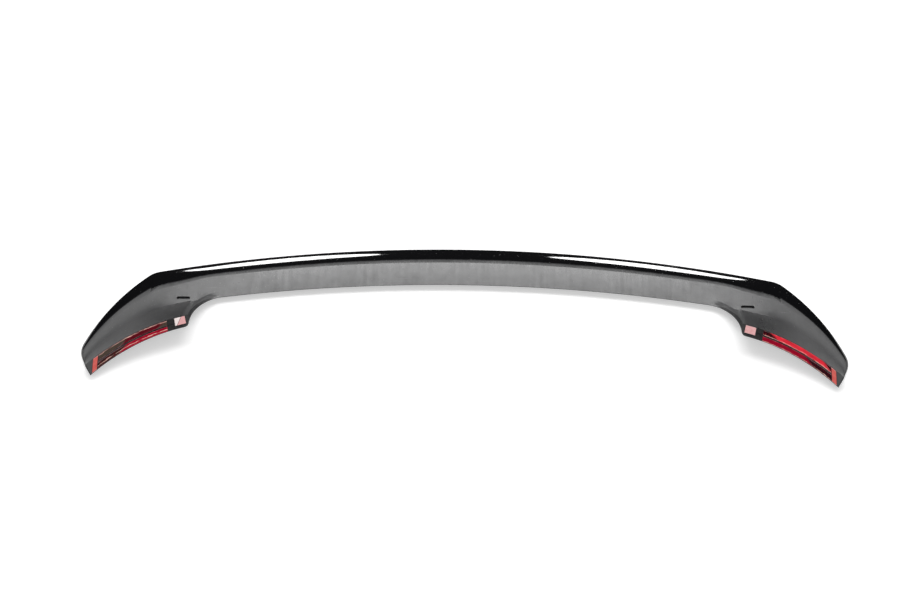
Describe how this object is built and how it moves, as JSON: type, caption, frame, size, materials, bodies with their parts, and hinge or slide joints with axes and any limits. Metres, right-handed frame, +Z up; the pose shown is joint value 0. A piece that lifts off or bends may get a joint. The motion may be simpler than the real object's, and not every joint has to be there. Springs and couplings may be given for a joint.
{
  "type": "car rear spoiler",
  "caption": "Black car rear spoiler: thin swept wing whose ends turn down into tilted feet, each faced with foam tape under red release film, to stick on a boot lid.",
  "frame": {"origin": "on the floor under the middle of the part's overall box, as it lies on its painted top", "axes": "+X along the span to the right seen from behind the car, +Y to the car's rear, +Z up from the floor and out of the underside. Fitted on a car the part is turned over by half a turn about Y and pitched by about 21 degrees, so that the taped faces lie flat and face down."},
  "size_m": [1.3456, 0.2584, 0.0525],
  "materials": {
    "black_moulding": "gloss",
    "foam_tape": "matte",
    "red_film": "gloss",
    "pink_film": "satin"
  },
  "bodies": {
    "root": {"spoiler_body": "black_moulding", "left_inner_pad": "foam_tape", "left_front_tape": "foam_tape", "left_rear_tape": "foam_tape", "left_outer_pad": "foam_tape", "left_front_liner": "red_film", "left_rear_liner": "red_film", "left_inner_pad_liner": "pink_film", "left_outer_pad_liner": "pink_film", "right_inner_pad": "foam_tape", "right_front_tape": "foam_tape", "right_rear_tape": "foam_tape", "right_outer_pad": "foam_tape", "right_front_liner": "red_film", "right_rear_liner": "red_film", "right_inner_pad_liner": "pink_film", "right_outer_pad_liner": "pink_film"}
  },
  "joints": []
}
